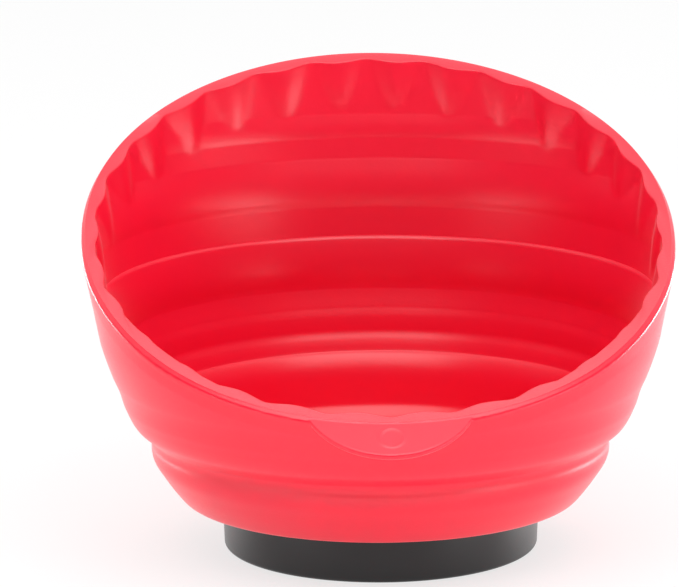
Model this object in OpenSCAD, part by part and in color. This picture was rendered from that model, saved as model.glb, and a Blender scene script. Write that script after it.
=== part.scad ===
// Magnetic parts tray: a soft collapsible cup with a slanted, lobed rim on a round magnet base.
// Millimetres, +Z up. The origin is the centre of the face the tray stands on, and the low side
// of the rim, with its tab, faces -Y.

/* [Cup] */
// Width of the rim, seen from above
rim_w = 152.4; // [130:0.2:180]
// Height of the rim at the back
rim_back_h = 114.3; // [98:0.1:134]
// Height of the rim at the front
rim_front_h = 47.7; // [42:0.1:55]
// Lean of the upper wall from upright
flare = 14; // [12:0.1:16]
// Wall thickness between the thick bands, at the back of the rim
wall_t = 2.4; // [2.1:0.1:2.8]
// Wall thickness at the height of the rim's front
wall_front_t = 4; // [3.4:0.1:4.6]
// Swell of the wall outside its straight flare
belly = 1.1; // [0.6:0.1:1.4]
// Height of the swell's widest place above the upper fold
belly_up = 13.5; // [12:0.1:15]
// Reach of the swell above and below its widest place
belly_reach = 16.5; // [15:0.1:18]

/* [Wall bands] */
// Heights of the thick bands inside the upper wall, from the upper fold up
band_h = [5.5, 13.7, 12.4, 6]; // [5:0.1:16]
// Heights of the plain wall between those bands
plain_h = [5.5, 7.7, 5.5]; // [4:0.1:10]
// Depth by which a band stands into the cup
band_step = 0.8; // [0.5:0.1:1.1]
// Height of a band's crown below its top
band_crown = 3.5; // [3:0.1:4]
// Height over which a band's foot and top edge ease into the plain wall
band_ease = 0.8; // [0.6:0.1:1]

/* [Folds] */
// Height of the wall under the front of the rim, down to the upper fold
front_wall_h = 5.7; // [5:0.1:6.5]
// Height of the band that rolls between the two folds
fold_h = 14; // [12:0.1:16]
// Width of that band, from the bowl out to the wall's lip
fold_w = 6.6; // [5.8:0.1:7.6]
// Step from the wall's line in to the top of the band
fold_step = 1.55; // [1.3:0.05:1.8]
// Gap that lets the zones of the cup pass each other
fold_gap = 0.3; // [0.25:0.05:0.35]
// Thickness of the wall's lower lip
lip_t = 0.9; // [0.7:0.1:1.1]
// Width of the band's lower edge
fold_foot_w = 0.8; // [0.6:0.1:1]
// Height of the bend in the band's outside above its lower edge
fold_hip_up = 5; // [4.2:0.1:6]
// Depth of that bend behind the band's outermost line
fold_hip_in = 2.4; // [2:0.1:2.8]
// Upright edge at the top of the band's outside
fold_edge_h = 2.7; // [2:0.1:3.2]
// Depth of the crest inside the band below the upper fold
fold_crest_down = 5.4; // [4.6:0.1:6.4]
// Rounding of that crest
fold_crest_r = 1.8; // [1.5:0.1:2.1]
// Rise of the ledge behind that crest
fold_ledge_h = 1.4; // [1.2:0.1:1.6]

/* [Bowl] */
// Thickness of the bowl's floor
floor_t = 2.5; // [2:0.1:3]
// Run of the bowl's rounded side, from its flat underside out to its upright lip
bowl_run = 7.5; // [6.5:0.1:8.5]
// Height of the upright lip
bowl_lip_h = 1.5; // [1.2:0.1:1.8]
// Height of the bowl's upright inside wall
bowl_wall_h = 4.2; // [3.5:0.1:5]
// Step from the edge of the underside in to the edge of the floor
floor_inset = 1; // [0.8:0.1:1.2]

/* [Rim lobes] */
// Lobes round the inside of the rim
lobe_count = 30; // [25:1:36]
// How far a lobe stands in from the wall at the rim
lobe_h = 1.2; // [1:0.1:1.4]
// Length of a lobe down the wall
lobe_len = 14; // [12:0.5:16.5]
// Radius of a lobe's rounded face
lobe_r = 24; // [20:0.5:28]

/* [Tab] */
// How far the tab stands out from the rim
tab_len = 10.5; // [9:0.1:12.5]
// Width of the tab where it leaves the rim
tab_w = 40; // [34:0.5:47]
// Thickness of the tab
tab_t = 2; // [1.7:0.1:2.4]
// Droop of the tab below level
tab_droop = 30; // [26:1:34]
// Radius of the shallow moulded mark in the tab
mark_r = 3; // [2.5:0.1:3.5]
// Depth of that mark
mark_depth = 0.4; // [0.3:0.1:0.5]
// Distance of the mark's centre from the rim's outer edge
mark_out = 3.8; // [3.6:0.1:4.5]

/* [Base] */
// Height of the base
base_h = 13.5; // [12:0.1:16]
// Outer radius of the base at its top
base_r = 40.6; // [34:0.1:48]
// Draft of the base over its height
base_draft = 0.4; // [0.2:0.1:0.6]
// Round on the base's lower edge
base_round = 1.2; // [1:0.1:1.4]
// Wall of the base
base_wall = 2.6; // [2.2:0.1:3]
// Floor of the base above the foot pad
base_floor = 1.8; // [1.5:0.1:2.1]
// Rim of the base left round the foot pad
pad_margin = 3; // [2.5:0.1:3.5]
// Thickness of the foot pad
pad_t = 1.2; // [1:0.1:1.4]
// How far the foot pad stands below the base
pad_proud = 0.2; // [0.1:0.05:0.3]

/* [Magnet stack] */
// Gap between the ring magnet and the base's wall
magnet_gap = 5; // [4:0.5:6]
// Bore radius of the ring magnet
magnet_bore_r = 10; // [8.5:0.1:11.5]
// Thickness of the steel pole plate
pole_t = 2; // [1.7:0.1:2.4]
// Radius of the clamp plate on the cup's floor
clamp_r = 24; // [20:0.5:28]
// Thickness of the clamp plate
clamp_t = 1.5; // [1.3:0.1:1.8]
// Chamfer on the clamp plate's edge
clamp_edge = 0.4; // [0.3:0.1:0.5]
// Shank radius of the clamp screw
screw_r = 2.5; // [2.1:0.1:2.9]
// Head radius of the clamp screw
head_r = 4.7; // [4:0.1:5.5]
// Head height of the clamp screw
head_h = 2.8; // [2.4:0.1:3.3]
// Round on the clamp screw's head
head_round = 1.4; // [1.2:0.1:1.6]
// Width, length and depth of the head's cross slots
slot_w = 1.2; // [1:0.1:1.4]
slot_l = 5; // [4.2:0.1:5.8]
slot_d = 1.6; // [1.4:0.1:1.8]
// Width of the nut across its flats
nut_af = 8; // [7:0.1:9.4]
// Height of the nut
nut_h = 4; // [3.4:0.1:4.7]
// Gap between the nut and the foot pad
nut_gap = 0.3; // [0.25:0.05:0.35]
// Clearance of the nut round the screw's shank
thread_gap = 0.1; // [0.1:0.05:0.15]
// Clearance between fitted pieces
fit_gap = 0.25; // [0.2:0.05:0.3]

/* [Hidden] */
$fn = 96;

cup_red = "#E8263A";
base_black = "#2B2A2A";
pad_black = "#1E1E20";
steel_grey = "#B9BCC0";
magnet_grey = "#4A4A4D";

// How far a cut runs past the face it opens
over = 1;
// Edge of the block that cuts the rim
far = 3 * rim_w;

// The rim is a level cone cut by a slanted plane: its slope, and the cone's radius and height
// where the plane crosses the cup's axis, follow from the width, the two heights and the flare.
flare_k = tan(flare);
rim_ratio = (rim_back_h - rim_front_h) / rim_w;
rim_slope = rim_ratio / sqrt(1 + pow(flare_k * rim_ratio, 2));
rim_tilt = atan(rim_slope);
oval = flare_k * rim_slope;
axis_r = rim_w / 2 * sqrt(1 - oval * oval);
axis_z = rim_back_h - rim_slope * axis_r / (1 - oval);
rim_mid_y = axis_r * oval / (1 - oval * oval);
rim_front_y = -axis_r / (1 + oval);

// Radius of the straight flare at a height
function flare_r(z) = axis_r + flare_k * (z - axis_z);

// Heights of the two folds, and of the bands above them
fold_high_z = rim_front_h - front_wall_h;
fold_low_z = fold_high_z - fold_h;
belly_z = fold_high_z + belly_up;
belly_top_z = belly_z + belly_reach;
function total(list, n) = n == 0 ? 0 : list[n - 1] + total(list, n - 1);
function band_foot(i) = fold_high_z + total(band_h, i) + total(plain_h, i);
last_band = len(band_h) - 1;
wall_top_z = max(rim_back_h, band_foot(last_band) + band_h[last_band]) + 2 * lip_t + over;

// Radii of the zones from the outside in, each one fold gap clear of the next
band_out_r = flare_r(fold_high_z) - fold_step;
lip_in_r = band_out_r + fold_gap;
band_in_r = band_out_r - fold_w;
bowl_r = band_in_r - fold_gap;
foot_r = bowl_r - bowl_run;

// The bowl's side is an arc that leaves its underside and ends upright under the lower fold
bowl_top_z = fold_low_z - fold_gap;
bowl_arc_z = bowl_top_z - bowl_lip_h;
bowl_rise = bowl_arc_z - base_h;
bowl_arc_r = (bowl_run * bowl_run + bowl_rise * bowl_rise) / (2 * bowl_run);
bowl_arc_start = -asin(bowl_rise / bowl_arc_r);
cup_floor_z = base_h + floor_t;

// Heights and radii of the stack inside the base
base_inside_z = pad_t + base_floor;
base_inside_r = base_r - base_wall;
pad_r = base_r - base_draft - base_round - pad_margin;
magnet_r = base_inside_r - magnet_gap;
magnet_top_z = base_h - pole_t;
clamp_top_z = cup_floor_z + clamp_t;
hole_clear_r = screw_r + fit_gap;
boss_r = magnet_bore_r - fit_gap;
nut_bottom_z = pad_t + nut_gap;
nut_top_z = nut_bottom_z + nut_h;

// The tab is part of a disc that meets the rim over the tab's width
rim_sag = rim_w / 2 - sqrt(pow(rim_w / 2, 2) - pow(tab_w / 2, 2));
tab_reach = tab_len + rim_sag;
tab_disc_r = (pow(tab_w / 2, 2) + tab_reach * tab_reach) / (2 * tab_reach);

// Swell of the wall at a height, a smooth hump about its widest place
function swell(z) =
    abs(z - belly_z) > belly_reach ? 0 : belly * (1 + cos(180 * (z - belly_z) / belly_reach)) / 2;

// Thickness of the plain wall at a height, which grows downwards
wall_taper = (wall_front_t - wall_t) / (rim_back_h - rim_front_h);
function wall_at(z) = wall_t + wall_taper * (rim_back_h - z);

// Outer and inner radius of the plain wall at a height
function outer_r(z) = flare_r(z) + swell(z);
function plain_r(z) = outer_r(z) - wall_at(z);

// Points of an arc in the profile plane, from one angle to another
function arc(cx, cz, r, from, to, steps) =
    [for (i = [0 : steps]) let (a = from + (to - from) * i / steps) [cx + r * cos(a), cz + r * sin(a)]];

// Outer line of the upper wall, from its lip up past the rim, with the swell in even steps
swell_steps = 6;
function wall_outer() = [
    [lip_in_r + lip_t, fold_high_z + fold_gap],
    for (i = [1 : swell_steps])
        let (z = fold_high_z + (belly_top_z - fold_high_z) * i / swell_steps) [outer_r(z), z],
    [flare_r(wall_top_z), wall_top_z]
];

// Inner line of one thick band: it eases in at its foot and ends in a crown with a sharp top edge
function band_line(foot_z, top_z) = [
    [plain_r(foot_z), foot_z],
    [plain_r(foot_z + band_ease) - band_step / 2, foot_z + band_ease],
    [plain_r(top_z - band_crown) - band_step, top_z - band_crown],
    [plain_r(top_z - band_ease) - band_step, top_z - band_ease],
    [plain_r(top_z), top_z]
];

// Inner line of the upper wall, from its lip up past the rim
function wall_inner() = [
    [plain_r(fold_high_z) - band_step, fold_high_z - fold_gap],
    for (i = [0 : last_band])
        for (point = band_line(band_foot(i), band_foot(i) + band_h[i])) point,
    [plain_r(wall_top_z + over), wall_top_z + over]
];

// A solid of revolution under an outline that runs upwards
module turned(outline) {
    last = len(outline) - 1;
    rotate_extrude()
        polygon(concat([[0, outline[0][1]]], outline, [[0, outline[last][1]]]));
}

// A disc with a round hole through its middle
module washer(r, hole_r, h) {
    difference() {
        cylinder(r = r, h = h);
        translate([0, 0, -over])
            cylinder(r = hole_r, h = h + 2 * over);
    }
}

// A hexagonal prism of a given width across its flats
module hexagon(across_flats, h) {
    cylinder(r = across_flats / 2 / cos(30), h = h, $fn = 6);
}

// Everything above the slanted plane of the rim
module above_rim() {
    translate([0, 0, axis_z])
        rotate([rim_tilt, 0, 0])
            translate([-far / 2, -far / 2, 0])
                cube(far);
}

// Round-faced rods that leave the lobes standing when they are kept out of the hollow
module lobe_rods() {
    lean = atan(flare_k + wall_taper - lobe_h / lobe_len);
    for (i = [0 : lobe_count - 1]) {
        turn = -90 + (i + 0.5) * 360 / lobe_count;
        x = rim_w / 2 * cos(turn);
        y = rim_mid_y + rim_w / 2 * sin(turn);
        z = axis_z + rim_slope * y;
        rotate([0, 0, atan2(y, x)])
            translate([flare_r(z) - wall_at(z) - lobe_h + lobe_r, 0, z])
                rotate([0, lean, 0])
                    cylinder(r = lobe_r, h = 3 * lobe_len, center = true);
    }
}

// The hollow of the upper wall, with the way for the fold band kept clear
module upper_hollow() {
    difference() {
        turned(wall_inner());
        lobe_rods();
    }
    translate([0, 0, fold_high_z - fold_gap])
        cylinder(r = lip_in_r, h = fold_h + 2 * fold_gap);
}

// Frame of the tab: its origin on the rim's front edge, -Y out along the tab
module at_tab() {
    translate([0, rim_front_y, rim_front_h])
        rotate([tab_droop, 0, 0])
            children();
}

module cup_lower() {
    side = arc(bowl_r - bowl_arc_r, bowl_arc_z, bowl_arc_r, bowl_arc_start, 0, 12);
    inner = [
        [foot_r - floor_inset, cup_floor_z],
        [bowl_r - wall_t, bowl_top_z - bowl_wall_h],
        [bowl_r - wall_t, bowl_top_z + over]
    ];
    color(cup_red)
        difference() {
            turned(concat(side, [[bowl_r, bowl_top_z]]));
            turned(inner);
            translate([0, 0, base_h - over])
                cylinder(r = hole_clear_r, h = floor_t + 2 * over);
        }
}

module cup_fold() {
    low_z = fold_low_z + fold_gap / 2;
    crest_z = fold_high_z - fold_crest_down;
    outside = [
        [band_in_r + fold_foot_w, low_z],
        [band_out_r - fold_hip_in, low_z + fold_hip_up],
        [band_out_r, fold_high_z - fold_edge_h],
        [band_out_r, fold_high_z]
    ];
    ledge = [
        [band_out_r - wall_t, fold_high_z],
        [band_out_r - wall_t, crest_z + fold_ledge_h]
    ];
    crest = arc(band_in_r + fold_crest_r, crest_z - fold_crest_r, fold_crest_r, 90, 180, 4);
    color(cup_red)
        rotate_extrude()
            polygon(concat(outside, ledge, crest, [[band_in_r, low_z]]));
}

module cup_upper() {
    color(cup_red)
        difference() {
            union() {
                turned(wall_outer());
                at_tab()
                    translate([0, tab_disc_r - tab_len, -tab_t])
                        cylinder(r = tab_disc_r, h = tab_t);
            }
            upper_hollow();
            above_rim();
            at_tab()
                translate([0, -mark_out, -mark_depth])
                    cylinder(r = mark_r, h = mark_depth + over);
        }
}

module base_housing() {
    low_r = base_r - base_draft;
    edge = arc(low_r - base_round, pad_proud + base_round, base_round, -90, 0, 6);
    color(base_black)
        difference() {
            turned(concat(edge, [[base_r, base_h]]));
            difference() {
                translate([0, 0, base_inside_z])
                    cylinder(r = base_inside_r, h = base_h);
                cylinder(r = boss_r, h = magnet_top_z);
            }
            translate([0, 0, -over])
                cylinder(r = pad_r + fit_gap, h = pad_t + over);
            cylinder(r = hole_clear_r, h = base_h);
            hexagon(nut_af + 2 * fit_gap, nut_top_z);
        }
}

module foot_pad() {
    color(pad_black)
        cylinder(r = pad_r, h = pad_t);
}

module magnet_ring() {
    color(magnet_grey)
        translate([0, 0, base_inside_z])
            washer(magnet_r, magnet_bore_r, magnet_top_z - base_inside_z);
}

module pole_plate() {
    color(steel_grey)
        translate([0, 0, magnet_top_z])
            washer(base_inside_r - fit_gap, hole_clear_r, pole_t);
}

module clamp_plate() {
    rim = [
        [clamp_r, 0],
        [clamp_r, clamp_t - clamp_edge],
        [clamp_r - clamp_edge, clamp_t]
    ];
    color(steel_grey)
        translate([0, 0, cup_floor_z])
            difference() {
                turned(rim);
                translate([0, 0, -over])
                    cylinder(r = hole_clear_r, h = clamp_t + 2 * over);
            }
}

module clamp_screw() {
    head_top_z = clamp_top_z + head_h;
    dome = arc(head_r - head_round, head_top_z - head_round, head_round, 0, 90, 6);
    shank = [[screw_r, nut_bottom_z], [screw_r, clamp_top_z]];
    color(steel_grey)
        difference() {
            turned(concat(shank, [[head_r, clamp_top_z]], dome));
            for (turn = [0, 90])
                rotate([0, 0, turn])
                    translate([-slot_l / 2, -slot_w / 2, head_top_z - slot_d])
                        cube([slot_l, slot_w, slot_d + over]);
        }
}

module hex_nut() {
    color(steel_grey)
        translate([0, 0, nut_bottom_z])
            difference() {
                hexagon(nut_af, nut_h);
                translate([0, 0, -over])
                    cylinder(r = screw_r + thread_gap, h = nut_h + 2 * over);
            }
}

cup_lower();
cup_fold();
cup_upper();
base_housing();
foot_pad();
magnet_ring();
pole_plate();
clamp_plate();
clamp_screw();
hex_nut();
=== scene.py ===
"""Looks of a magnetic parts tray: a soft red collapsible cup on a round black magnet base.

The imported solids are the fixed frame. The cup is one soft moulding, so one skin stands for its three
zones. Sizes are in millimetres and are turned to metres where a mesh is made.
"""

import logging
import math
from dataclasses import dataclass, field
from enum import Enum
from typing import ClassVar

import bpy
import numpy as np
from mathutils import Matrix, Vector


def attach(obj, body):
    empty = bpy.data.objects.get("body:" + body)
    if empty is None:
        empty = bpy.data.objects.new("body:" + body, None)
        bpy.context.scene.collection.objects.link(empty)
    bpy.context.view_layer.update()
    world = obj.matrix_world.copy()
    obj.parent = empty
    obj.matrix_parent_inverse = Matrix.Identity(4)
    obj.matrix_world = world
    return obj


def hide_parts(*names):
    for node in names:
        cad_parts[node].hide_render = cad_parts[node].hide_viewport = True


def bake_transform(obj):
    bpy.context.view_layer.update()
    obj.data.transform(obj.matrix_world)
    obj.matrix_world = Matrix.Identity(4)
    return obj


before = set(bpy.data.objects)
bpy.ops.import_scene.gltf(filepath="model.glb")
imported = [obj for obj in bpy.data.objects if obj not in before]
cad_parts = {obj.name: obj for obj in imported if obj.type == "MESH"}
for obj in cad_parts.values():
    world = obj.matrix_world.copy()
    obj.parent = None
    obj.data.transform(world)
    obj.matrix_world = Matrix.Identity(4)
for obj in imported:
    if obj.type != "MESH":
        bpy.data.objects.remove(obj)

MM = 0.001
PHOTO_WIDTH = 679
SENSOR_WIDTH_MM = 36.0
# Phase in radians that a wave texture gains in one metre at a scale of 1
WAVE_PHASE = 20.0

log = logging.getLogger("parts_tray")
Outline = list[tuple[float, float]]
Point = tuple[float, float, float]
CUP_MIDDLE: Point = (0.0, 0.0, 0.06)


class Slot(Enum):
    """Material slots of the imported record."""

    CUP = "cup_rubber"
    BASE = "base_plastic"
    PAD = "pad_rubber"
    MAGNET = "ferrite"
    STEEL = "zinc_steel"


class Body(Enum):
    """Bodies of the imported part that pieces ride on."""

    BASE = "base"
    UPPER = "upper"


# Finishes


def linear(hex_colour: str) -> tuple[float, float, float, float]:
    """Turns an sRGB hex colour to linear light.

    Args:
        hex_colour: Six hex digits with a leading hash.

    Returns:
        Red, green, blue and alpha in linear light.
    """
    channels = [int(hex_colour[i : i + 2], 16) / 255 for i in (1, 3, 5)]
    light = [c / 12.92 if c <= 0.04045 else ((c + 0.055) / 1.055) ** 2.4 for c in channels]
    return (light[0], light[1], light[2], 1.0)


def add_node(
    tree: bpy.types.NodeTree,
    kind: str,
    settings: dict[str | int, object],
    links: dict[str | int, bpy.types.NodeSocket],
) -> bpy.types.Node:
    """Adds one node with its settings and links.

    Args:
        tree: Node tree that gets the node.
        kind: Blender's type name of the node.
        settings: Values by socket name or number, or by property name.
        links: Output sockets by the name or number of the input they feed.

    Returns:
        The new node.
    """
    node = tree.nodes.new(kind)
    for key, value in settings.items():
        if isinstance(key, str) and key not in node.inputs:
            setattr(node, key, value)
    for key, value in settings.items():
        if not isinstance(key, str) or key in node.inputs:
            node.inputs[key].default_value = value
    for key, source in links.items():
        tree.links.new(source, node.inputs[key])
    return node


@dataclass(frozen=True)
class Finish:
    """One finish: two close colours in soft patches, a fine grain and a varied gloss.

    Attributes:
        name: Real material and process.
        colour: Main colour.
        patch_colour: Colour of the soft patches.
        patch_mm: Size of the patches.
        grain_mm: Size of the surface grain.
        grain_depth_mm: Depth of the surface grain.
        roughness: Lowest and highest roughness.
        ior: Index of refraction.
        metallic: One for a bare metal.
        sheen: Weight of the powdery sheen at grazing angles.
        sheen_roughness: Spread of that sheen.
    """

    name: str
    colour: str
    patch_colour: str
    patch_mm: float
    grain_mm: float
    grain_depth_mm: float
    roughness: tuple[float, float]
    ior: float = 1.45
    metallic: float = 0.0
    sheen: float = 0.0
    sheen_roughness: float = 0.4

    def place(self, tree: bpy.types.NodeTree) -> bpy.types.NodeSocket:
        """Returns the coordinates that the patterns read."""
        return add_node(tree, "ShaderNodeTexCoord", {}, {}).outputs["Object"]

    def grain(self, tree: bpy.types.NodeTree, place: bpy.types.NodeSocket) -> bpy.types.NodeSocket:
        """Adds the fine grain.

        Args:
            tree: Node tree of the material.
            place: Coordinates.

        Returns:
            Height of the grain from 0 to 1.
        """
        settings = {"Scale": 1 / (self.grain_mm * MM), "Detail": 2.0, "Roughness": 0.6}
        return add_node(tree, "ShaderNodeTexNoise", settings, {"Vector": place}).outputs["Fac"]

    def material(self) -> bpy.types.Material:
        """Builds the material.

        Returns:
            A material with patches, grain and gloss.
        """
        made = bpy.data.materials.new(self.name)
        made.use_nodes = True
        tree = made.node_tree
        tree.nodes.clear()
        place = self.place(tree)
        patches = add_node(
            tree,
            "ShaderNodeTexNoise",
            {"Scale": 1 / (self.patch_mm * MM), "Detail": 4.0, "Roughness": 0.55},
            {"Vector": place},
        ).outputs["Fac"]
        colour = add_node(
            tree,
            "ShaderNodeMix",
            {"data_type": "RGBA", 6: linear(self.colour), 7: linear(self.patch_colour)},
            {0: patches},
        ).outputs[2]
        grain = self.grain(tree, place)
        gloss = add_node(
            tree,
            "ShaderNodeMapRange",
            {"To Min": self.roughness[0], "To Max": self.roughness[1]},
            {"Value": grain},
        ).outputs["Result"]
        bump = add_node(
            tree,
            "ShaderNodeBump",
            {"Strength": 0.5, "Distance": self.grain_depth_mm * MM},
            {"Height": grain},
        ).outputs["Normal"]
        surface = add_node(
            tree,
            "ShaderNodeBsdfPrincipled",
            {
                "Metallic": self.metallic,
                "IOR": self.ior,
                "Sheen Weight": self.sheen,
                "Sheen Roughness": self.sheen_roughness,
            },
            {"Base Color": colour, "Roughness": gloss, "Normal": bump},
        )
        add_node(tree, "ShaderNodeOutputMaterial", {}, {"Surface": surface.outputs["BSDF"]})
        return made


@dataclass(frozen=True)
class TurnedFinish(Finish):
    """A finish whose grain runs in rings about the part's upright axis, as a lathe leaves it."""

    def grain(self, tree: bpy.types.NodeTree, place: bpy.types.NodeSocket) -> bpy.types.NodeSocket:
        """Adds the turned rings.

        Args:
            tree: Node tree of the material.
            place: Coordinates.

        Returns:
            Height of the rings from 0 to 1.
        """
        settings = {
            "wave_type": "RINGS",
            "rings_direction": "Z",
            "Scale": math.tau / (WAVE_PHASE * self.grain_mm * MM),
            "Distortion": 1.5,
            "Detail": 3.0,
            "Detail Scale": 6.0,
        }
        return add_node(tree, "ShaderNodeTexWave", settings, {"Vector": place}).outputs["Fac"]


# The grain of these surfaces is finer than the render shows, so it is drawn as coarse as it needs to show

# Moulded silicone rubber: satin, a little cloudy, with a powdery pale sheen where it is seen edge on
SILICONE = Finish(
    name="silicone_rubber_moulded_red",
    colour="#F70730",
    patch_colour="#F30D35",
    patch_mm=9.0,
    grain_mm=0.6,
    grain_depth_mm=0.05,
    roughness=(0.29, 0.4),
    ior=1.58,
    sheen=0.25,
    sheen_roughness=0.25,
)
# Moulded ABS: near black, satin, with a fine spark-eroded grain that softens reflections
ABS_BLACK = Finish(
    name="abs_moulded_black",
    colour="#121112",
    patch_colour="#171617",
    patch_mm=6.0,
    grain_mm=0.3,
    grain_depth_mm=0.012,
    roughness=(0.3, 0.42),
    ior=1.53,
)
# Sheet rubber: dull black with a coarse dusty grain
RUBBER_BLACK = Finish(
    name="nitrile_rubber_sheet_black",
    colour="#1B1B1C",
    patch_colour="#232324",
    patch_mm=5.0,
    grain_mm=0.6,
    grain_depth_mm=0.05,
    roughness=(0.7, 0.85),
    ior=1.52,
)
# Sintered ferrite: charcoal grey, ground faces with a faint sparkle of grains
FERRITE = Finish(
    name="ferrite_sintered_ground",
    colour="#3B3B3E",
    patch_colour="#47474A",
    patch_mm=2.0,
    grain_mm=0.25,
    grain_depth_mm=0.02,
    roughness=(0.45, 0.65),
    ior=1.8,
)
# Zinc plate on turned steel: bright bluish grey with fine lathe rings
ZINC_STEEL = TurnedFinish(
    name="steel_turned_zinc_plated",
    colour="#B4B7BC",
    patch_colour="#A6A9B0",
    patch_mm=4.0,
    grain_mm=0.5,
    grain_depth_mm=0.01,
    roughness=(0.22, 0.36),
    ior=1.5,
    metallic=1.0,
)


# Modelling


def deselect_all() -> None:
    """Leaves no object selected."""
    bpy.ops.object.select_all(action="DESELECT")


def select_only(piece: bpy.types.Object) -> None:
    """Selects one object and makes it active.

    Args:
        piece: The object.
    """
    deselect_all()
    piece.select_set(True)
    bpy.context.view_layer.objects.active = piece


def spin_outline(name: str, outline: Outline, steps: int) -> bpy.types.Object:
    """Draws a closed outline vertex by vertex and spins it about the upright axis.

    Args:
        name: Name of the piece.
        outline: Radius and height of each point, in millimetres; the last joins the first.
        steps: Steps of the spin.

    Returns:
        The closed piece, with its normals outwards.
    """
    deselect_all()
    bpy.ops.mesh.primitive_plane_add(size=MM)
    piece = bpy.context.object
    piece.name = name
    bpy.ops.object.mode_set(mode="EDIT")
    bpy.ops.mesh.select_mode(type="VERT")
    bpy.ops.mesh.select_all(action="SELECT")
    bpy.ops.mesh.merge(type="CENTER")
    bpy.ops.transform.translate(value=(outline[0][0] * MM, 0, outline[0][1] * MM))
    for start, end in zip(outline, outline[1:] + outline[:1]):
        step = ((end[0] - start[0]) * MM, 0, (end[1] - start[1]) * MM)
        bpy.ops.mesh.extrude_vertices_move(TRANSFORM_OT_translate={"value": step})
    bpy.ops.mesh.select_all(action="SELECT")
    bpy.ops.mesh.spin(steps=steps, angle=math.tau, center=(0, 0, 0), axis=(0, 0, 1))
    bpy.ops.mesh.select_all(action="SELECT")
    bpy.ops.mesh.remove_doubles(threshold=1e-6)
    bpy.ops.mesh.normals_make_consistent(inside=False)
    bpy.ops.object.mode_set(mode="OBJECT")
    return piece


def points_of(piece: bpy.types.Object) -> np.ndarray:
    """Reads where a piece's vertices lie.

    Args:
        piece: The object.

    Returns:
        Places in millimetres, one row each.
    """
    flat = np.zeros(len(piece.data.vertices) * 3)
    piece.data.vertices.foreach_get("co", flat)
    return flat.reshape(-1, 3) / MM


def set_points(piece: bpy.types.Object, points: np.ndarray) -> None:
    """Moves the piece's vertices to points given in millimetres."""
    piece.data.vertices.foreach_set("co", (points * MM).ravel())
    piece.data.update()


def apply_modifier(piece: bpy.types.Object, kind: str, **settings: object) -> None:
    """Adds one modifier and applies it.

    Args:
        piece: Object that gets the modifier.
        kind: Blender's type name of the modifier.
        **settings: The modifier's properties.
    """
    select_only(piece)
    modifier = piece.modifiers.new(kind.lower(), kind)
    for key, value in settings.items():
        setattr(modifier, key, value)
    bpy.ops.object.modifier_apply(modifier=modifier.name)


def smooth_shade(piece: bpy.types.Object, angle_deg: float) -> None:
    """Shades faces smooth, but keeps edges sharper than the angle."""
    select_only(piece)
    bpy.ops.object.shade_smooth_by_angle(angle=math.radians(angle_deg))


def dress(piece: bpy.types.Object, material: bpy.types.Material) -> None:
    """Gives the piece one material."""
    piece.data.materials.clear()
    piece.data.materials.append(material)


def smoothstep(t: np.ndarray) -> np.ndarray:
    """Eases from 0 to 1, flat at both ends."""
    t = np.clip(t, 0, 1)
    return t * t * (3 - 2 * t)


def above_zero(values: np.ndarray, soft: float) -> np.ndarray:
    """Returns values where they are above zero and nearly 0 elsewhere, with a bend rounded by soft."""
    return 0.5 * (values + np.sqrt(values**2 + soft**2))


def through(points: Outline, per_span: int) -> Outline:
    """Draws a smooth line through points (a centripetal Catmull-Rom curve).

    Args:
        points: Points that the line passes.
        per_span: Pieces between two points.

    Returns:
        The line's points, with both ends.
    """
    knots = np.array([points[0], *points, points[-1]], float)
    knots[0] = 2 * knots[1] - knots[2]
    knots[-1] = 2 * knots[-2] - knots[-3]
    line = []
    for a, b, c, d in zip(knots, knots[1:], knots[2:], knots[3:]):
        gaps = [math.sqrt(np.linalg.norm(q - p)) for p, q in ((a, b), (b, c), (c, d))]
        into = gaps[1] * ((b - a) / gaps[0] - (c - a) / (gaps[0] + gaps[1]) + (c - b) / gaps[1])
        out = gaps[1] * ((c - b) / gaps[1] - (d - b) / (gaps[1] + gaps[2]) + (d - c) / gaps[2])
        for i in range(per_span):
            t = i / per_span
            line.append(
                (2 * t**3 - 3 * t**2 + 1) * b
                + (t**3 - 2 * t**2 + t) * into
                + (3 * t**2 - 2 * t**3) * c
                + (t**3 - t**2) * out
            )
    line.append(knots[-2])
    return [(float(r), float(z)) for r, z in line]


def arc(centre: tuple[float, float], radius: float, start: float, end: float, pieces: int) -> Outline:
    """Draws an arc of an outline.

    Args:
        centre: Radius and height of the arc's centre.
        radius: Radius of the arc.
        start: First angle in degrees.
        end: Last angle in degrees.
        pieces: Pieces of the arc.

    Returns:
        The arc's points, with both ends.
    """
    angles = [math.radians(start + (end - start) * i / pieces) for i in range(pieces + 1)]
    return [(centre[0] + radius * math.cos(a), centre[1] + radius * math.sin(a)) for a in angles]


# The cup


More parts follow.
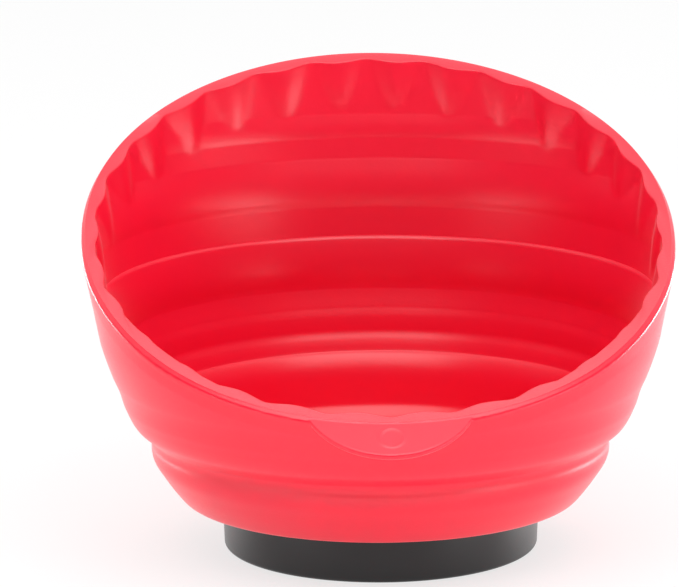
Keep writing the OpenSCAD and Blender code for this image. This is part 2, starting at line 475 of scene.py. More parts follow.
@dataclass(frozen=True)
class Rim:
    """The slanted plane that cuts the flared wall.

    Attributes:
        width: Width of the rim seen from above.
        back_z: Height at the back.
        front_z: Height at the front.
        flare_deg: Lean of the wall.
    """

    width: float = 152.4
    back_z: float = 114.3
    front_z: float = 47.7
    flare_deg: float = 14.0

    @property
    def flare(self) -> float:
        """Growth of the wall's radius with height."""
        return math.tan(math.radians(self.flare_deg))

    @property
    def slope(self) -> float:
        """Rise of the plane towards the back."""
        ratio = (self.back_z - self.front_z) / self.width
        return ratio / math.sqrt(1 + (self.flare * ratio) ** 2)

    @property
    def oval(self) -> float:
        """How far the plane's cut leaves a circle."""
        return self.flare * self.slope

    @property
    def axis_r(self) -> float:
        """Radius of the wall at the height where the plane crosses the axis."""
        return self.width / 2 * math.sqrt(1 - self.oval**2)

    @property
    def axis_z(self) -> float:
        """Height where the plane crosses the axis."""
        return self.back_z - self.slope * self.axis_r / (1 - self.oval)

    @property
    def mid_y(self) -> float:
        """Middle of the rim seen from above."""
        return self.axis_r * self.oval / (1 - self.oval**2)

    @property
    def front_y(self) -> float:
        """Place of the rim's front edge."""
        return -self.axis_r / (1 + self.oval)

    @property
    def normal(self) -> Vector:
        """Upward normal of the plane."""
        return Vector((0, -self.slope, 1)).normalized()

    def flare_r(self, z: float) -> float:
        """Returns the radius of the straight flare at a height."""
        return self.axis_r + self.flare * (z - self.axis_z)

    def depth(self, points: np.ndarray) -> np.ndarray:
        """Returns how far points lie under the plane, square to it."""
        return (self.axis_z + self.slope * points[:, 1] - points[:, 2]) * self.normal.z


@dataclass(frozen=True)
class Band:
    """A thick band inside the wall: it swells inwards and rolls over to an edge at its top.

    Attributes:
        foot_z: Height of its foot.
        top_z: Height of its top edge.
        swell: How far its middle swells in.
        ledge: How far its top stands in.
        roll: Height of the rounding at its top.
        swell_lean: Below 1, the swell is fullest under the band's middle.
        body_points: Outline points from the foot to the rounding.
        roll_points: Outline points on the rounding.
        roll_start: First angle on the rounding, in radians.
        foot_gap: Room under the foot without points of the plain wall.
        top_gap: Room over the top without points of the plain wall.
        lead: Distance past that room of the point that ends it.
    """

    foot_z: float
    top_z: float
    swell: float
    ledge: float
    roll: float
    swell_lean: float = 0.8
    body_points: int = 9
    roll_points: int = 7
    roll_start: float = 0.2
    foot_gap: float = 0.4
    top_gap: float = 0.5
    lead: float = 0.1

    def depth(self, z: float) -> float:
        """Works out how far the band stands in.

        Args:
            z: A height.

        Returns:
            The depth there, which is 0 above and below the band.
        """
        if not self.foot_z <= z <= self.top_z:
            return 0.0
        t = (z - self.foot_z) / (self.top_z - self.foot_z)
        body = self.swell * math.sin(math.pi * t**self.swell_lean) + self.ledge * t
        over = max(0.0, (z - (self.top_z - self.roll)) / self.roll)
        return body * math.sqrt(max(0.0, 1 - over**2))

    def crowds(self, z: float) -> bool:
        """Returns whether a point of the plain wall would lie on the band or too near it."""
        return self.foot_z - self.foot_gap < z < self.top_z + self.top_gap

    def heights(self) -> list[float]:
        """Lists the heights of the band's outline and of the plain wall next to it.

        Returns:
            The heights, closer together at the band's top.
        """
        body = np.linspace(self.foot_z, self.top_z - self.roll, self.body_points)
        angles = np.linspace(self.roll_start, math.pi / 2, self.roll_points)
        lip = [self.top_z - self.roll * (1 - math.sin(a)) for a in angles]
        below = self.foot_z - self.foot_gap - self.lead
        above = self.top_z + self.top_gap + self.lead
        return [below, *(float(z) for z in body), *lip, above]


@dataclass(frozen=True)
class RimEdge:
    """The outer edge of the rim: a crease on top, a sloping shoulder, a plain side and a groove.

    Each list runs down from the crease.

    Attributes:
        loops: Depths under the rim's plane where the wall gets a loop of edges.
        inset: How far each loop moves in, measured in the rim's plane.
        depth: Depth that each loop moves to.
        back_share: Share of the shoulder's width that is left at the back.
        back_reach: Sine of the angle round the axis from which that share holds.
    """

    loops: tuple[float, ...] = (0.0, 0.12, 0.3, 0.55, 0.85, 1.4, 1.9, 2.15, 2.5, 3.4, 5.0)
    inset: tuple[float, ...] = (1.5, 1.3, 1.1, 0.6, 0.2, 0.0, 0.0, 0.32, 0.3, 0.18, 0.0)
    depth: tuple[float, ...] = (0.0, -0.16, 0.0, 0.22, 0.48, 1.0, 1.9, 2.15, 2.5, 3.4, 5.0)
    back_share: float = 0.3
    back_reach: float = 0.9

    def width(self, points: np.ndarray) -> np.ndarray:
        """Returns the shoulder's share of its full width, which falls towards the back."""
        backward = points[:, 1] / np.hypot(points[:, 0], points[:, 1])
        return 1 - (1 - self.back_share) * smoothstep(backward / self.back_reach)


@dataclass
class Cup:
    """The soft cup: floor, bowl, fold band, flared wall, lobed rim and front tab, as one skin.

    Attributes:
        rim: Slanted plane of the rim.
        edge: Outer edge of the rim.
        columns: Steps of the spin.
        outer_span: Pieces between two drawn points of the outside.
        inner_span: Pieces between two drawn points of the inside.
        crease_deg: Edges sharper than this stay crisp.
        wall_back_t: Thickness of the wall at the rim's back.
        wall_front_t: Thickness of the wall at the rim's front.
        wall_low_z: Lowest point of the plain inner wall.
        wall_step: Spacing of the points of the plain inner wall.
        skin_depth: Points no deeper than this belong to the outside.
        hole_r: Radius of the screw's hole in the floor.
        floor_ring_r: Radius of a ring of edges in floor and underside, just outside the clamp plate.
        under_ring_r: Radius of a ring of edges in the underside, just outside the housing.
        underside_z: Height of the underside.
        floor_z: Height of the floor.
        draw_top_z: Height up to which the wall is drawn before it is cut.
        lobe_count: Number of lobes round the rim.
        lobe_h: How far the lobes swell in.
        lobe_len: How far they run down the wall.
        lobe_notch: Power of the wave round the rim; a higher one makes narrower lobes.
        lobe_taper: Growth of that power over a lobe's length, so that it narrows to a tongue.
        lobe_fall: Power of the fall down a lobe, which is steepest at its tip.
        lobe_end: Lobe lengths down the wall beyond which depth no longer counts.
        lobe_soft: Rounding where a lobe meets the wall.
        lobe_low_z: Height under which there are no lobes.
        lobe_fade: Height over which they reach full size above that.
        inner_round: Rounding of the rim's inner edge.
        tab_len: Length of the tab.
        tab_w: Width of the tab at the wall.
        tab_t: Thickness of the tab.
        tab_set_in: How far the tab is set into the wall.
        tab_level: Length of tab in the rim's plane before it bends down.
        tab_droop_deg: Slope of the tab beyond the bend.
        tab_bend_soft: Rounding of that bend.
        tab_sink: How far the tab's top lies under the rim's top.
        tab_margin: Room at the tab's two corners, where it would run out to nothing.
        tab_edge_share: Share of the thickness that is left at the very edge.
        tab_columns: Grid cells across the tab.
        tab_rows: Grid cells along the tab.
        mark_r: Radius of the ring mark.
        mark_out: Distance of the ring mark from the rim.
        mark_line: Half width of its line.
        mark_h: Height of its line.
        fold_start_z: Height where the fold was to start; not used.
        fold_end_z: Height above which the rim's lobes, rounding and edge move the wall's points.
        bands: Thick bands inside the wall, from the lowest up.
    """

    rim: Rim = field(default_factory=Rim)
    edge: RimEdge = field(default_factory=RimEdge)
    columns: int = 360
    outer_span: int = 4
    inner_span: int = 3
    crease_deg: float = 50.0
    wall_back_t: float = 2.4
    wall_front_t: float = 4.0
    wall_low_z: float = 50.0
    wall_step: float = 1.25
    skin_depth: float = 0.9
    hole_r: float = 2.75
    floor_ring_r: float = 25.0
    under_ring_r: float = 42.0
    underside_z: float = 13.5
    floor_z: float = 16.0
    draw_top_z: float = 122.0
    lobe_count: int = 30
    lobe_h: float = 1.45
    lobe_len: float = 14.0
    lobe_notch: float = 1.4
    lobe_taper: float = 1.6
    lobe_fall: float = 2.2
    lobe_end: float = 2.0
    lobe_soft: float = 0.07
    lobe_low_z: float = 41.0
    lobe_fade: float = 4.0
    inner_round: float = 0.3
    tab_len: float = 9.8
    tab_w: float = 40.0
    tab_t: float = 1.6
    tab_set_in: float = 1.5
    tab_level: float = 0.9
    tab_droop_deg: float = 35.0
    tab_bend_soft: float = 0.3
    tab_sink: float = 0.03
    tab_margin: float = 0.15
    tab_edge_share: float = 0.12
    tab_columns: int = 110
    tab_rows: int = 44
    mark_r: float = 2.9
    mark_out: float = 3.8
    mark_line: float = 0.35
    mark_h: float = 0.16
    fold_start_z: float = 28.0
    fold_end_z: float = 40.5

    bands: ClassVar[tuple[Band, ...]] = (
        Band(53.0, 66.7, 0.9, 0.7, 1.0),
        Band(74.4, 86.8, 0.5, 0.1, 4.5),
        Band(92.3, 98.3, 0.2, 0.05, 3.0),
    )

    def outer_line(self) -> Outline:
        """Draws the outside.

        Returns:
            Points from the underside's edge up past the rim.
        """
        bowl = [(50.4, self.underside_z), (51.1, 14.0), (53.9, 17.4), (56.0, 20.4)]
        bowl_top = [(57.8, 23.2), (58.45, 25.0), (58.6, 26.7)]
        notch = [(58.5, 28.2), (59.0, 29.7), (60.6, 31.2)]
        fold = [(62.4, 32.7), (63.3, 33.8), (64.3, 35.6), (65.0, 37.2)]
        fold_top = [(65.6, 38.6), (66.0, 39.9), (66.5, 41.6)]
        wall_foot = [(67.25, 43.6), (68.1, 45.4), (69.6, 49.4), (71.2, 54.5)]
        wall = [(72.1, 59.0), (73.2, 64.7), (74.5, 70.9)]
        flared = [(self.rim.flare_r(z), z) for z in (78.0, 90.0, 105.0, self.draw_top_z)]
        stepped = bowl + bowl_top + notch + fold + fold_top
        return through(stepped + wall_foot + wall + flared, self.outer_span)

    def plain_inner_r(self, z: np.ndarray, outer: np.ndarray) -> np.ndarray:
        """Works out the inner radius of the plain wall, which grows thicker downwards.

        Args:
            z: Heights.
            outer: Points of the outside.

        Returns:
            Inner radii.
        """
        share = (self.rim.back_z - z) / (self.rim.back_z - self.rim.front_z)
        thickness = self.wall_back_t + (self.wall_front_t - self.wall_back_t) * share
        return np.interp(z, outer[:, 1], outer[:, 0]) - thickness

    def inner_line(self, outer: np.ndarray) -> Outline:
        """Draws the inside from above the rim down to the floor.

        Args:
            outer: Points of the outside.

        Returns:
            Points from the top down.
        """
        heights = {float(z) for z in np.arange(self.wall_low_z, self.draw_top_z, self.wall_step)}
        for band in self.bands:
            heights = {z for z in heights if not band.crowds(z)}
            heights.update(band.heights())
        upper = []
        for z in sorted(heights, reverse=True):
            inset = sum(band.depth(z) for band in self.bands)
            upper.append((float(self.plain_inner_r(z, outer)) - inset, z))
        dome = [(65.25, 48.5), (65.0, 47.8), (64.6, 46.9), (64.15, 45.8)]
        dome_foot = [(63.75, 44.4), (63.45, 43.0), (63.25, 41.9)]
        plateau = [(62.9, 41.1), (62.2, 39.9), (61.55, 38.5), (61.05, 37.2), (60.8, 36.7)]
        crest = [(60.45, 36.45), (60.0, 36.0), (59.2, 34.9), (58.2, 33.1)]
        crest_foot = [(57.5, 31.2), (57.05, 29.3), (56.7, 27.4)]
        side = [(56.35, 25.4), (56.1, 23.7), (55.8, 22.9), (55.1, 21.9)]
        corner = [(53.6, 20.2), (51.2, 18.4), (47.8, 16.9), (44.2, 16.15), (41.5, self.floor_z)]
        stepped = dome + dome_foot + plateau + crest + crest_foot
        return upper + through(stepped + side + corner, self.inner_span)

    def outline(self) -> Outline:
        """Draws the whole cup before its rim is cut.

        Returns:
            The closed outline.
        """
        outer = self.outer_line()
        inner = self.inner_line(np.array(outer))
        under = [(r, self.underside_z) for r in (self.hole_r, self.floor_ring_r, self.under_ring_r)]
        floor = [(r, self.floor_z) for r in (self.floor_ring_r, self.hole_r)]
        return under + outer + inner + floor

    def cut_rim(self, skin: bpy.types.Object) -> None:
        """Cuts the wall at the slanted plane and adds the loops of its edge under the cut.

        Args:
            skin: The spun cup.
        """
        select_only(skin)
        bpy.ops.object.mode_set(mode="EDIT")
        normal = self.rim.normal
        for depth in self.edge.loops:
            bpy.ops.mesh.select_all(action="SELECT")
            through_point = Vector((0, 0, self.rim.axis_z)) - normal * depth
            bpy.ops.mesh.bisect(
                plane_co=through_point * MM,
                plane_no=normal,
                clear_outer=depth == 0.0,
                threshold=1e-7,
            )
        bpy.ops.object.mode_set(mode="OBJECT")

    def lobes(self, points: np.ndarray, depth: np.ndarray, band: np.ndarray) -> np.ndarray:
        """Works out how far the lobes stand in from the bands they cover.

        Args:
            points: Points of the inside.
            depth: Their depths under the rim.
            band: How far the bands stand in there.

        Returns:
            How far each point moves in.
        """
        round_axis = np.arctan2(points[:, 1], points[:, 0])
        round_rim = np.arctan2(points[:, 1] - self.rim.mid_y, points[:, 0])
        lean = math.radians(self.rim.flare_deg)
        normal = self.rim.normal
        up_wall = normal.y * np.sin(round_axis) * math.sin(lean) + normal.z * math.cos(lean)
        down = np.clip(depth / up_wall / self.lobe_len, 0, self.lobe_end)
        swing = np.abs(np.sin(self.lobe_count / 2 * (round_rim + math.pi / 2)))
        wave = swing ** (self.lobe_notch + self.lobe_taper * down)
        proud = self.lobe_h * (wave - down**self.lobe_fall) - band
        low_fade = smoothstep((points[:, 2] - self.lobe_low_z) / self.lobe_fade)
        return above_zero(proud, self.lobe_soft) * low_fade

    def shape_rim(self, skin: bpy.types.Object, outer: np.ndarray) -> None:
        """Moves the wall's points at the rim: lobes inside, the edge's shoulder and groove outside.

        Args:
            skin: The cup after the cut.
            outer: Points of the outside.
        """
        points = points_of(skin)
        depth = self.rim.depth(points)
        radius = np.hypot(points[:, 0], points[:, 1])
        outside = radius > np.interp(points[:, 2], outer[:, 1], outer[:, 0]) - self.skin_depth
        above_fold = points[:, 2] > self.fold_end_z
        band = np.clip(self.plain_inner_r(points[:, 2], outer) - radius, 0, None)
        above_round = np.clip(self.inner_round - depth, 0, self.inner_round)
        round_in = self.inner_round - np.sqrt(self.inner_round**2 - above_round**2)
        edge = self.edge
        width = edge.width(points)
        inset = np.interp(depth, edge.loops, edge.inset) * width
        sink = (np.interp(depth, edge.loops, edge.depth) - np.clip(depth, 0, edge.loops[-1])) * width
        move = np.where(outside, -inset, round_in - self.lobes(points, depth, band)) * above_fold
        sink = np.where(outside, sink, 0.0) * above_fold
        turn = np.arctan2(points[:, 1], points[:, 0])
        points[:, 0] += move * np.cos(turn)
        points[:, 1] += move * np.sin(turn)
        points[:, 2] += move * np.sin(turn) * self.rim.slope
        points -= sink[:, None] * np.array(self.rim.normal)
        set_points(skin, points)

    def close_rim(self, skin: bpy.types.Object) -> None:
        """Bridges the two open loops of the cut with the rim's top face.

        Args:
            skin: The cup after the cut.
        """
        select_only(skin)
        bpy.ops.object.mode_set(mode="EDIT")
        bpy.ops.mesh.select_mode(type="EDGE")
        bpy.ops.mesh.select_all(action="DESELECT")
        bpy.ops.mesh.select_non_manifold(
            extend=False, use_wire=False, use_multi_face=False, use_non_contiguous=False, use_verts=False
        )
        bpy.ops.mesh.bridge_edge_loops()
        bpy.ops.mesh.select_all(action="SELECT")
        bpy.ops.mesh.normals_make_consistent(inside=False)
        bpy.ops.object.mode_set(mode="OBJECT")

    def tab(self) -> bpy.types.Object:
        """Models the front tab from a grid: a crescent with a rounded edge and a shallow ring mark.

        The grid lies in the rim's plane, and bends down from it beyond the rim's edge.

        Returns:
            The closed tab, set into the front wall.
        """
        rim_r = -self.rim.front_y
        sag = rim_r - math.sqrt(rim_r**2 - (self.tab_w / 2) ** 2)
        reach = self.tab_len + sag
        disc_r = ((self.tab_w / 2) ** 2 + reach**2) / (2 * reach)
        tilt = math.atan(self.rim.slope)
        deselect_all()
        bpy.ops.mesh.primitive_grid_add(
            x_subdivisions=self.tab_columns, y_subdivisions=self.tab_rows, size=2.0
        )
        tab = bpy.context.object
        tab.name = "tab"
        flat = points_of(tab) * MM
        across = flat[:, 0] * (self.tab_w / 2 - self.tab_margin)
        share = (flat[:, 1] + 1) / 2
        wall_line = np.sqrt(rim_r**2 - across**2) - rim_r - self.tab_set_in
        tip_line = np.sqrt(disc_r**2 - across**2) - (disc_r - self.tab_len)
        out = wall_line + share * (tip_line - wall_line)
        past_bend = out - wall_line - self.tab_level
        soft_past = above_zero(past_bend, self.tab_bend_soft)
        drop = soft_past * math.tan(math.radians(self.tab_droop_deg) - tilt) + self.tab_sink
        ring = np.hypot(across, out - self.mark_out) - self.mark_r
        mark = self.mark_h * np.exp(-((ring / self.mark_line) ** 2))
        set_points(tab, np.column_stack([across, -out, -drop]))
        apply_modifier(tab, "SOLIDIFY", thickness=self.tab_t * MM, offset=1.0)
        faces = points_of(tab).reshape(2, -1, 3)
        middle = faces.mean(axis=0)
        near_tip = np.clip(1 - (tip_line - out) / (self.tab_t / 2), 0, 1)
        share_left = np.clip(np.sqrt(1 - near_tip**2), self.tab_edge_share, 1)
        faces = middle + (faces - middle) * share_left[:, None]
        top = int(faces[1, :, 2].mean() > faces[0, :, 2].mean())
        faces[top, :, 2] += mark
        set_points(tab, faces.reshape(-1, 3))
        place = Matrix.Translation(Vector((0, self.rim.front_y, self.rim.front_z)) * MM)
        tab.data.transform(place @ Matrix.Rotation(tilt, 4, "X"))
        select_only(tab)
        bpy.ops.object.mode_set(mode="EDIT")
        bpy.ops.mesh.select_all(action="SELECT")
        bpy.ops.mesh.normals_make_consistent(inside=False)
        bpy.ops.object.mode_set(mode="OBJECT")
        return tab

    def build(self, material: bpy.types.Material) -> bpy.types.Object:
        """Builds the cup and hides the imported cup solids that it stands for.

        Args:
            material: The cup's finish.

        Returns:
            The finished skin.
        """
        outer = np.array(self.outer_line())
        skin = spin_outline("cup_skin", self.outline(), self.columns)
        self.cut_rim(skin)
        self.close_rim(skin)
        self.shape_rim(skin, outer)
        tab = self.tab()
        apply_modifier(skin, "BOOLEAN", operation="UNION", solver="EXACT", object=tab)
        bpy.data.objects.remove(tab)
        smooth_shade(skin, self.crease_deg)
        dress(skin, material)
        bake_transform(skin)
        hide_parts("cup_lower", "cup_fold", "cup_upper")
        return skin


# The base and what holds the cup to it


@dataclass
class Base:
    """The round black housing, its foot pad and the plate and screw that clamp the cup's floor.

    Attributes:
        steps: Steps of the large pieces' spin.
        screw_steps: Steps of the screw's spin.
        crease_deg: Edges sharper than this stay crisp.
        top_z: Height of the housing.
        top_r: Radius of the housing at its top.
        draft: How much smaller that radius is at the bottom.
        lower_round: Rounding of the lower edge.
        top_round: Rounding of the upper edge.
        bottom_z: Height of the housing's underside over the table.
        wall: Thickness of the housing's wall.
        inside_z: Height of the housing's floor inside.
        boss_r: Radius of the boss that centres the magnet.
        boss_z: Height of that boss.
        hole_r: Radius of the screw's holes.
        pad_r: Radius of the foot pad.
        pad_t: Thickness of the foot pad.
        pad_round: Rounding of the foot pad's lower edge.
        fit: Room round a piece that sits in a pocket.
        nut_af: Width of the nut across its flats.
        nut_top_z: Height of the nut's pocket.
        plate_r: Radius of the clamp plate.
        plate_t: Thickness of the clamp plate.
        plate_round: Rounding of its upper edge.
        floor_z: Height of the cup's floor.
        head_r: Radius of the screw's head.
        head_h: Height of the screw's head.
        head_round: Rounding of the screw's head.
        shank_r: Radius of the screw's shank.
        shank_z: Height of the screw's lower end.
        shank_chamfer: Chamfer of that end.
        slot_w: Width of the cross slots.
        slot_l: Length of the cross slots.
        slot_d: Depth of the cross slots.
    """

    steps: int = 160
    screw_steps: int = 64
    crease_deg: float = 35.0
    top_z: float = 13.5
    top_r: float = 40.6
    draft: float = 0.4
    lower_round: float = 1.2
    top_round: float = 0.4
    bottom_z: float = 0.2
    wall: float = 2.6
    inside_z: float = 3.0
    boss_r: float = 9.75
    boss_z: float = 11.5
    hole_r: float = 2.75
    pad_r: float = 36.0
    pad_t: float = 1.2
    pad_round: float = 0.4
    fit: float = 0.25
    nut_af: float = 8.0
    nut_top_z: float = 5.5
    plate_r: float = 24.0
    plate_t: float = 1.5
    plate_round: float = 0.4
    floor_z: float = 16.0
    head_r: float = 4.7
    head_h: float = 2.8
    head_round: float = 1.4
    shank_r: float = 2.5
    shank_z: float = 1.5
    shank_chamfer: float = 0.4
    slot_w: float = 1.2
    slot_l: float = 5.0
    slot_d: float = 1.6

    def housing(self) -> bpy.types.Object:
        """Spins the housing's wall, floor and boss, and cuts the nut's pocket.

        Returns:
            The housing.
        """
        inside_r = self.top_r - self.wall
        recess_r = self.pad_r + self.fit
        lower_centre = (self.top_r - self.draft - self.lower_round, self.bottom_z + self.lower_round)
        top_centre = (self.top_r - self.top_round, self.top_z - self.top_round)
        outline = [
            (self.hole_r, self.pad_t),
            (recess_r, self.pad_t),
            (recess_r, self.bottom_z),
            *arc(lower_centre, self.lower_round, -90, 0, pieces=8),
            *arc(top_centre, self.top_round, 0, 90, pieces=4),
            (inside_r, self.top_z),
            (inside_r, self.inside_z),
            (self.boss_r, self.inside_z),
            (self.boss_r, self.boss_z),
            (self.hole_r, self.boss_z),
        ]
        piece = spin_outline("base_shell", outline, self.steps)
        deselect_all()
        across = self.nut_af + 2 * self.fit
        bpy.ops.mesh.primitive_cylinder_add(
            vertices=6,
            radius=across / 2 / math.cos(math.pi / 6) * MM,
            depth=2 * self.nut_top_z * MM,
        )
        pocket = bpy.context.object
        apply_modifier(piece, "BOOLEAN", operation="DIFFERENCE", solver="EXACT", object=pocket)
        bpy.data.objects.remove(pocket)
        smooth_shade(piece, self.crease_deg)
        return piece

    def pad(self) -> bpy.types.Object:
        """Spins the foot pad, with a softened lower edge.

        Returns:
            The foot pad.
        """
        outline = [
            (0.0, 0.0),
            *arc((self.pad_r - self.pad_round, self.pad_round), self.pad_round, -90, 0, pieces=5),
            (self.pad_r, self.pad_t),
            (0.0, self.pad_t),
        ]
        piece = spin_outline("foot_pad_disc", outline, self.steps)
        smooth_shade(piece, self.crease_deg)
        return piece

    def plate(self) -> bpy.types.Object:
        """Spins the clamp plate, with a rolled upper edge.

        Returns:
            The clamp plate.
        """
        top = self.floor_z + self.plate_t
        edge_centre = (self.plate_r - self.plate_round, top - self.plate_round)
        outline = [
            (self.hole_r, self.floor_z),
            (self.plate_r, self.floor_z),
            *arc(edge_centre, self.plate_round, 0, 90, pieces=5),
            (self.hole_r, top),
        ]
        piece = spin_outline("clamp_disc", outline, self.steps)
        smooth_shade(piece, self.crease_deg)
        return piece

    def screw(self) -> bpy.types.Object:
        """Spins the clamp screw and cuts its cross slots.

        Returns:
            The clamp screw.
        """
        seat = self.floor_z + self.plate_t
        top = seat + self.head_h
        head_centre = (self.head_r - self.head_round, top - self.head_round)
        outline = [
            (0.0, self.shank_z),
            (self.shank_r - self.shank_chamfer, self.shank_z),
            (self.shank_r, self.shank_z + self.shank_chamfer),
            (self.shank_r, seat),
            (self.head_r, seat),
            *arc(head_centre, self.head_round, 0, 90, pieces=8),
            (0.0, top),
        ]
        piece = spin_outline("clamp_screw_turned", outline, self.screw_steps)
        for turn in (0.0, math.pi / 2):
            deselect_all()
            bpy.ops.mesh.primitive_cube_add(size=1.0)
            cutter = bpy.context.object
            size = Matrix.Diagonal((self.slot_l * MM, self.slot_w * MM, 2 * self.slot_d * MM, 1))
            spot = Matrix.Translation((0, 0, top * MM))
            cutter.data.transform(spot @ Matrix.Rotation(turn, 4, "Z") @ size)
            apply_modifier(piece, "BOOLEAN", operation="DIFFERENCE", solver="EXACT", object=cutter)
            bpy.data.objects.remove(cutter)
        smooth_shade(piece, self.crease_deg)
        return piece

    def build(self, materials: dict[Slot, bpy.types.Material]) -> list[bpy.types.Object]:
        """Builds the pieces and sets them on the base's body.

        Args:
            materials: The finishes by slot.

        Returns:
            The new pieces.
        """
        made = [
            (self.housing(), "base_housing", Slot.BASE),
            (self.pad(), "foot_pad", Slot.PAD),
            (self.plate(), "clamp_plate", Slot.STEEL),
            (self.screw(), "clamp_screw", Slot.STEEL),
        ]
        for piece, node, slot in made:
            dress(piece, materials[slot])
            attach(piece, Body.BASE.value)
            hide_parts(node)
        return [piece for piece, _, _ in made]


# The studio


@dataclass(frozen=True)
class Lamp:
    """One soft box.

    Attributes:
        name: Its name.
        place: Where it hangs, in metres.
        aim: What it points at, in metres.
        width: Its width and height, in metres.
        level: Light on a surface that faces it, where 1 shows a colour as written.
        spread_deg: Angle of its beam; a grid on the box narrows it.
    """

    name: str
    place: Point
    aim: Point
    width: tuple[float, float]
    level: float
    spread_deg: float = 180.0

    def build(self) -> None:
        """Hangs the soft box."""
        towards = Vector(self.aim) - Vector(self.place)
        data = bpy.data.lights.new(self.name, "AREA")
        data.shape = "RECTANGLE"
        data.size, data.size_y = self.width
        data.spread = math.radians(self.spread_deg)
        data.energy = self.level * math.pi**2 * towards.length_squared
        lamp = bpy.data.objects.new(self.name, data)
        lamp.location = self.place
        lamp.rotation_euler = towards.to_track_quat("-Z", "Y").to_euler()
        bpy.context.scene.collection.objects.link(lamp)


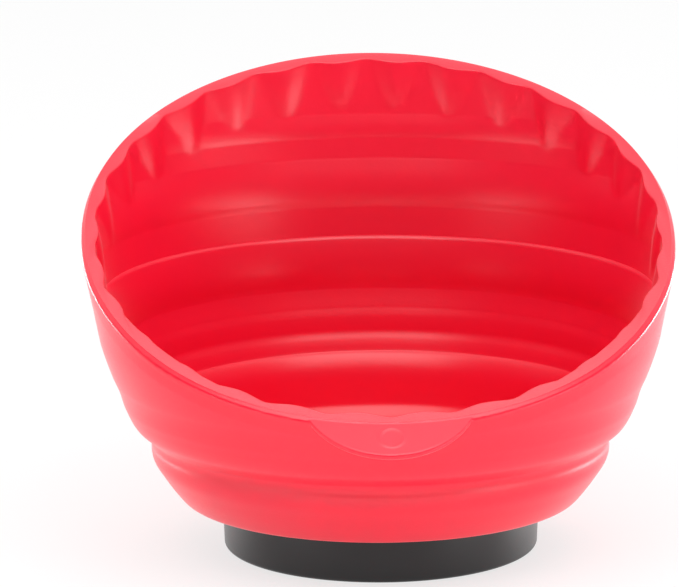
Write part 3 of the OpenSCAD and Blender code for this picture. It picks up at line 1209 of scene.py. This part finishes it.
@dataclass
class Studio:
    """Soft white light, a pale floor and the camera at the photograph's angle.

    The low boxes behind the tray light its outside only, because the rim shades the inside from them. The
    floor's box has a grid and lights the paper in front, which lights the cup's underside.

    Attributes:
        room_dim: Light of the room on the camera's side.
        room_full: Light of the room overhead and behind.
        ceiling_aim: Direction of the brightest part of the room.
        ceiling_edge: Cosines of the angles from there at which the room is dim and full.
        floor_size: Width of the floor, in metres.
        floor_drop_mm: How far the floor lies under the tray.
        floor_colour: Colour of the paper on the floor.
        floor_white: Share of plain white in what is seen of the floor.
        camera_distance: Distance of the camera from the tray's axis, in metres.
        camera_height: Height of the camera, in metres.
        camera_focal_px: Focal length in pixels of the photograph.
        camera_yaw: Turn of the camera's place round the tray, in radians.
        camera_pan: Turn of its aim away from the tray's axis, in radians.
        camera_pitch: Downward tilt, in radians.
        camera_roll: Roll, in radians.
        lamps: The soft boxes.
    """

    room_dim: float = 0.05
    room_full: float = 1.4
    ceiling_aim: Point = (0.0, 0.66, 0.75)
    ceiling_edge: tuple[float, float] = (0.3, 0.85)
    floor_size: float = 12.0
    floor_drop_mm: float = 0.05
    floor_colour: str = "#F4F4F4"
    floor_white: float = 0.75
    camera_distance: float = 1.1
    camera_height: float = 0.299857
    camera_focal_px: float = 4418.84
    camera_yaw: float = 0.03866
    camera_pan: float = -0.00927
    camera_pitch: float = 0.20992
    camera_roll: float = -0.00705

    lamps: ClassVar[tuple[Lamp, ...]] = (
        Lamp("key_softbox", (0.08, -0.62, 1.38), CUP_MIDDLE, (1.7, 0.9), 0.74),
        Lamp("left_softbox", (-1.15, -0.65, 0.12), CUP_MIDDLE, (0.8, 0.2), 0.1),
        Lamp("right_softbox", (1.15, -0.65, 0.12), CUP_MIDDLE, (0.8, 0.2), 0.2),
        Lamp("left_back_softbox", (-1.0, 0.9, 0.045), CUP_MIDDLE, (0.8, 0.09), 0.65),
        Lamp("right_back_softbox", (1.1, 0.7, 0.045), CUP_MIDDLE, (0.8, 0.09), 1.1),
        Lamp("floor_softbox", (0.05, -0.4, 0.4), (0.05, -0.4, 0.0), (0.9, 0.3), 1.3, spread_deg=80.0),
    )

    def camera(self) -> None:
        """Sets the camera where the photograph was taken from."""
        heading = self.camera_yaw + self.camera_pan
        ahead = Vector(
            (
                math.sin(heading) * math.cos(self.camera_pitch),
                math.cos(heading) * math.cos(self.camera_pitch),
                -math.sin(self.camera_pitch),
            )
        )
        level_right = ahead.cross(Vector((0, 0, 1))).normalized()
        level_up = level_right.cross(ahead)
        right = math.cos(self.camera_roll) * level_right + math.sin(self.camera_roll) * level_up
        up = math.cos(self.camera_roll) * level_up - math.sin(self.camera_roll) * level_right
        data = bpy.data.cameras.new("photo_camera")
        data.sensor_fit = "HORIZONTAL"
        data.sensor_width = SENSOR_WIDTH_MM
        data.lens = self.camera_focal_px * SENSOR_WIDTH_MM / PHOTO_WIDTH
        camera = bpy.data.objects.new("photo_camera", data)
        turn = Matrix((right, up, -ahead)).transposed().to_4x4()
        spot = (
            -self.camera_distance * math.sin(self.camera_yaw),
            -self.camera_distance * math.cos(self.camera_yaw),
            self.camera_height,
        )
        camera.matrix_world = Matrix.Translation(spot) @ turn
        bpy.context.scene.collection.objects.link(camera)
        bpy.context.scene.camera = camera

    def seen_as_white(self, tree: bpy.types.NodeTree, share: float) -> bpy.types.NodeSocket:
        """Tells what is seen of the floor, straight or in gloss or glass, from what lights the tray.

        Args:
            tree: Node tree of the floor.
            share: Value for a ray from the camera, from gloss or through glass.

        Returns:
            The share for such rays, and 0 for the rest.
        """
        path = add_node(tree, "ShaderNodeLightPath", {}, {}).outputs
        seen = path["Is Camera Ray"]
        for other in ("Is Glossy Ray", "Is Transmission Ray"):
            either = {0: seen, 1: path[other]}
            seen = add_node(tree, "ShaderNodeMath", {"operation": "MAXIMUM"}, either).outputs[0]
        scaled = {"operation": "MULTIPLY", 1: share}
        return add_node(tree, "ShaderNodeMath", scaled, {0: seen}).outputs[0]

    def world(self) -> None:
        """Fills the room with white light, dim on the camera's side and full overhead and behind."""
        world = bpy.data.worlds.new("white_room")
        world.use_nodes = True
        tree = world.node_tree
        tree.nodes.clear()
        direction = add_node(tree, "ShaderNodeTexCoord", {}, {}).outputs["Generated"]
        facing = add_node(
            tree,
            "ShaderNodeVectorMath",
            {"operation": "DOT_PRODUCT", 1: self.ceiling_aim},
            {0: direction},
        ).outputs["Value"]
        level = add_node(
            tree,
            "ShaderNodeMapRange",
            {
                "interpolation_type": "SMOOTHSTEP",
                "From Min": self.ceiling_edge[0],
                "From Max": self.ceiling_edge[1],
                "To Min": self.room_dim,
                "To Max": self.room_full,
            },
            {"Value": facing},
        ).outputs["Result"]
        light = add_node(tree, "ShaderNodeBackground", {"Color": (1, 1, 1, 1)}, {"Strength": level})
        add_node(tree, "ShaderNodeOutputWorld", {}, {"Surface": light.outputs[0]})
        bpy.context.scene.world = world

    def floor(self) -> None:
        """Lays the pale floor, which keeps part of the tray's shadow."""
        deselect_all()
        bpy.ops.mesh.primitive_plane_add(size=self.floor_size, location=(0, 0, -self.floor_drop_mm * MM))
        floor = bpy.context.object
        floor.name = "floor"
        # Coated white paper: flat and pale, it shows a soft shadow and no gloss
        made = bpy.data.materials.new("paper_white_matt")
        made.use_nodes = True
        tree = made.node_tree
        tree.nodes.clear()
        seen = self.seen_as_white(tree, self.floor_white)
        paper = add_node(tree, "ShaderNodeBsdfDiffuse", {"Color": linear(self.floor_colour)}, {})
        white = add_node(tree, "ShaderNodeEmission", {"Color": (1, 1, 1, 1), "Strength": 1.0}, {})
        mixed = add_node(
            tree, "ShaderNodeMixShader", {}, {0: seen, 1: paper.outputs[0], 2: white.outputs[0]}
        )
        add_node(tree, "ShaderNodeOutputMaterial", {}, {"Surface": mixed.outputs[0]})
        floor.data.materials.append(made)

    def build(self) -> None:
        """Builds the studio."""
        bpy.context.scene.view_settings.view_transform = "Standard"
        self.world()
        self.floor()
        for lamp in self.lamps:
            lamp.build()
        self.camera()


def main() -> None:
    """Builds the tray around its frame."""
    logging.basicConfig(level=logging.INFO, format="%(name)s: %(message)s")
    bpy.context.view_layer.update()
    materials = {
        Slot.CUP: SILICONE.material(),
        Slot.BASE: ABS_BLACK.material(),
        Slot.PAD: RUBBER_BLACK.material(),
        Slot.MAGNET: FERRITE.material(),
        Slot.STEEL: ZINC_STEEL.material(),
    }
    cup = Cup().build(materials[Slot.CUP])
    log.info("%s: %d faces", cup.name, len(cup.data.polygons))
    for piece in Base().build(materials):
        log.info("%s: %d faces", piece.name, len(piece.data.polygons))
    kept = {"magnet_ring": Slot.MAGNET, "pole_plate": Slot.STEEL, "hex_nut": Slot.STEEL}
    for node, slot in kept.items():
        dress(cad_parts[node], materials[slot])
        log.info("%s keeps its solid", node)
    Studio().build()


if __name__ == "__main__":
    main()
